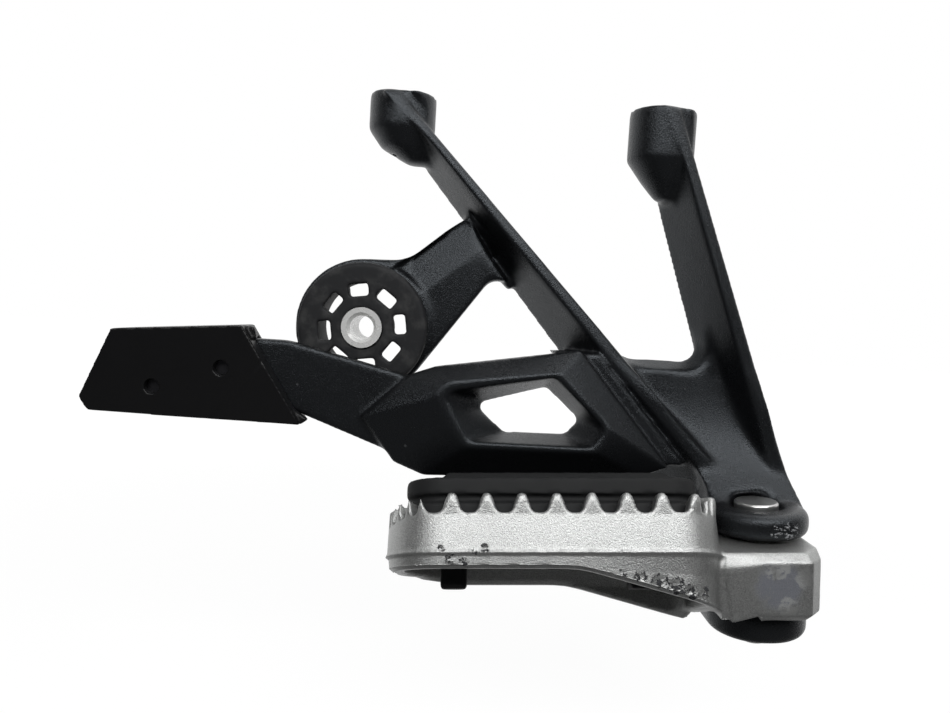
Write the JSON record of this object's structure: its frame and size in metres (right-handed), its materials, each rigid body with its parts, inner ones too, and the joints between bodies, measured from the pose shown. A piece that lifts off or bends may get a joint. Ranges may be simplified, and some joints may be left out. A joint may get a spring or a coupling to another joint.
{
  "type": "footrest hanger",
  "caption": "Cast passenger footrest hanger with bolt bosses, heel guard, silencer damper ring, padded rear arm and a toothed footrest that folds on a pin.",
  "frame": {"origin": "middle of the two bolt bosses, on their common seat", "axes": "+X along the row of bosses towards the front of the machine, +Y inboard, +Z along the boss axes, out of the bolt holes"},
  "size_m": [0.2439, 0.0685, 0.1768],
  "materials": {
    "casting": "satin black powder coat with a fine grain",
    "damper": "matte dark rubber",
    "sleeve": "bright turned",
    "end_pad": "smooth moulded black plastic",
    "screws": "blackened",
    "steel": "bright, lightly worn",
    "footpeg": "silver coat with a sparkle, chipped and scraped",
    "footpeg_pad": "matte dark grey rubber"
  },
  "bodies": {
    "hanger": {"hanger": "casting", "damper_rubber": "damper", "damper_sleeve": "sleeve", "end_pad": "end_pad", "end_pad_screws": "screws", "pivot_pin": "steel", "pin_circlip": "steel", "upper_washer": "steel", "lower_washer": "steel"},
    "footpeg": {"footpeg": "footpeg", "footpeg_pad": "footpeg_pad"}
  },
  "joints": [
    {"name": "peg_fold", "type": "hinge", "parent": "hanger", "child": "footpeg", "pos_m": [0.082, -0.022, -0.1509], "axis": [-0.061, 0, 0.9981], "range_deg": [0, 90]}
  ]
}
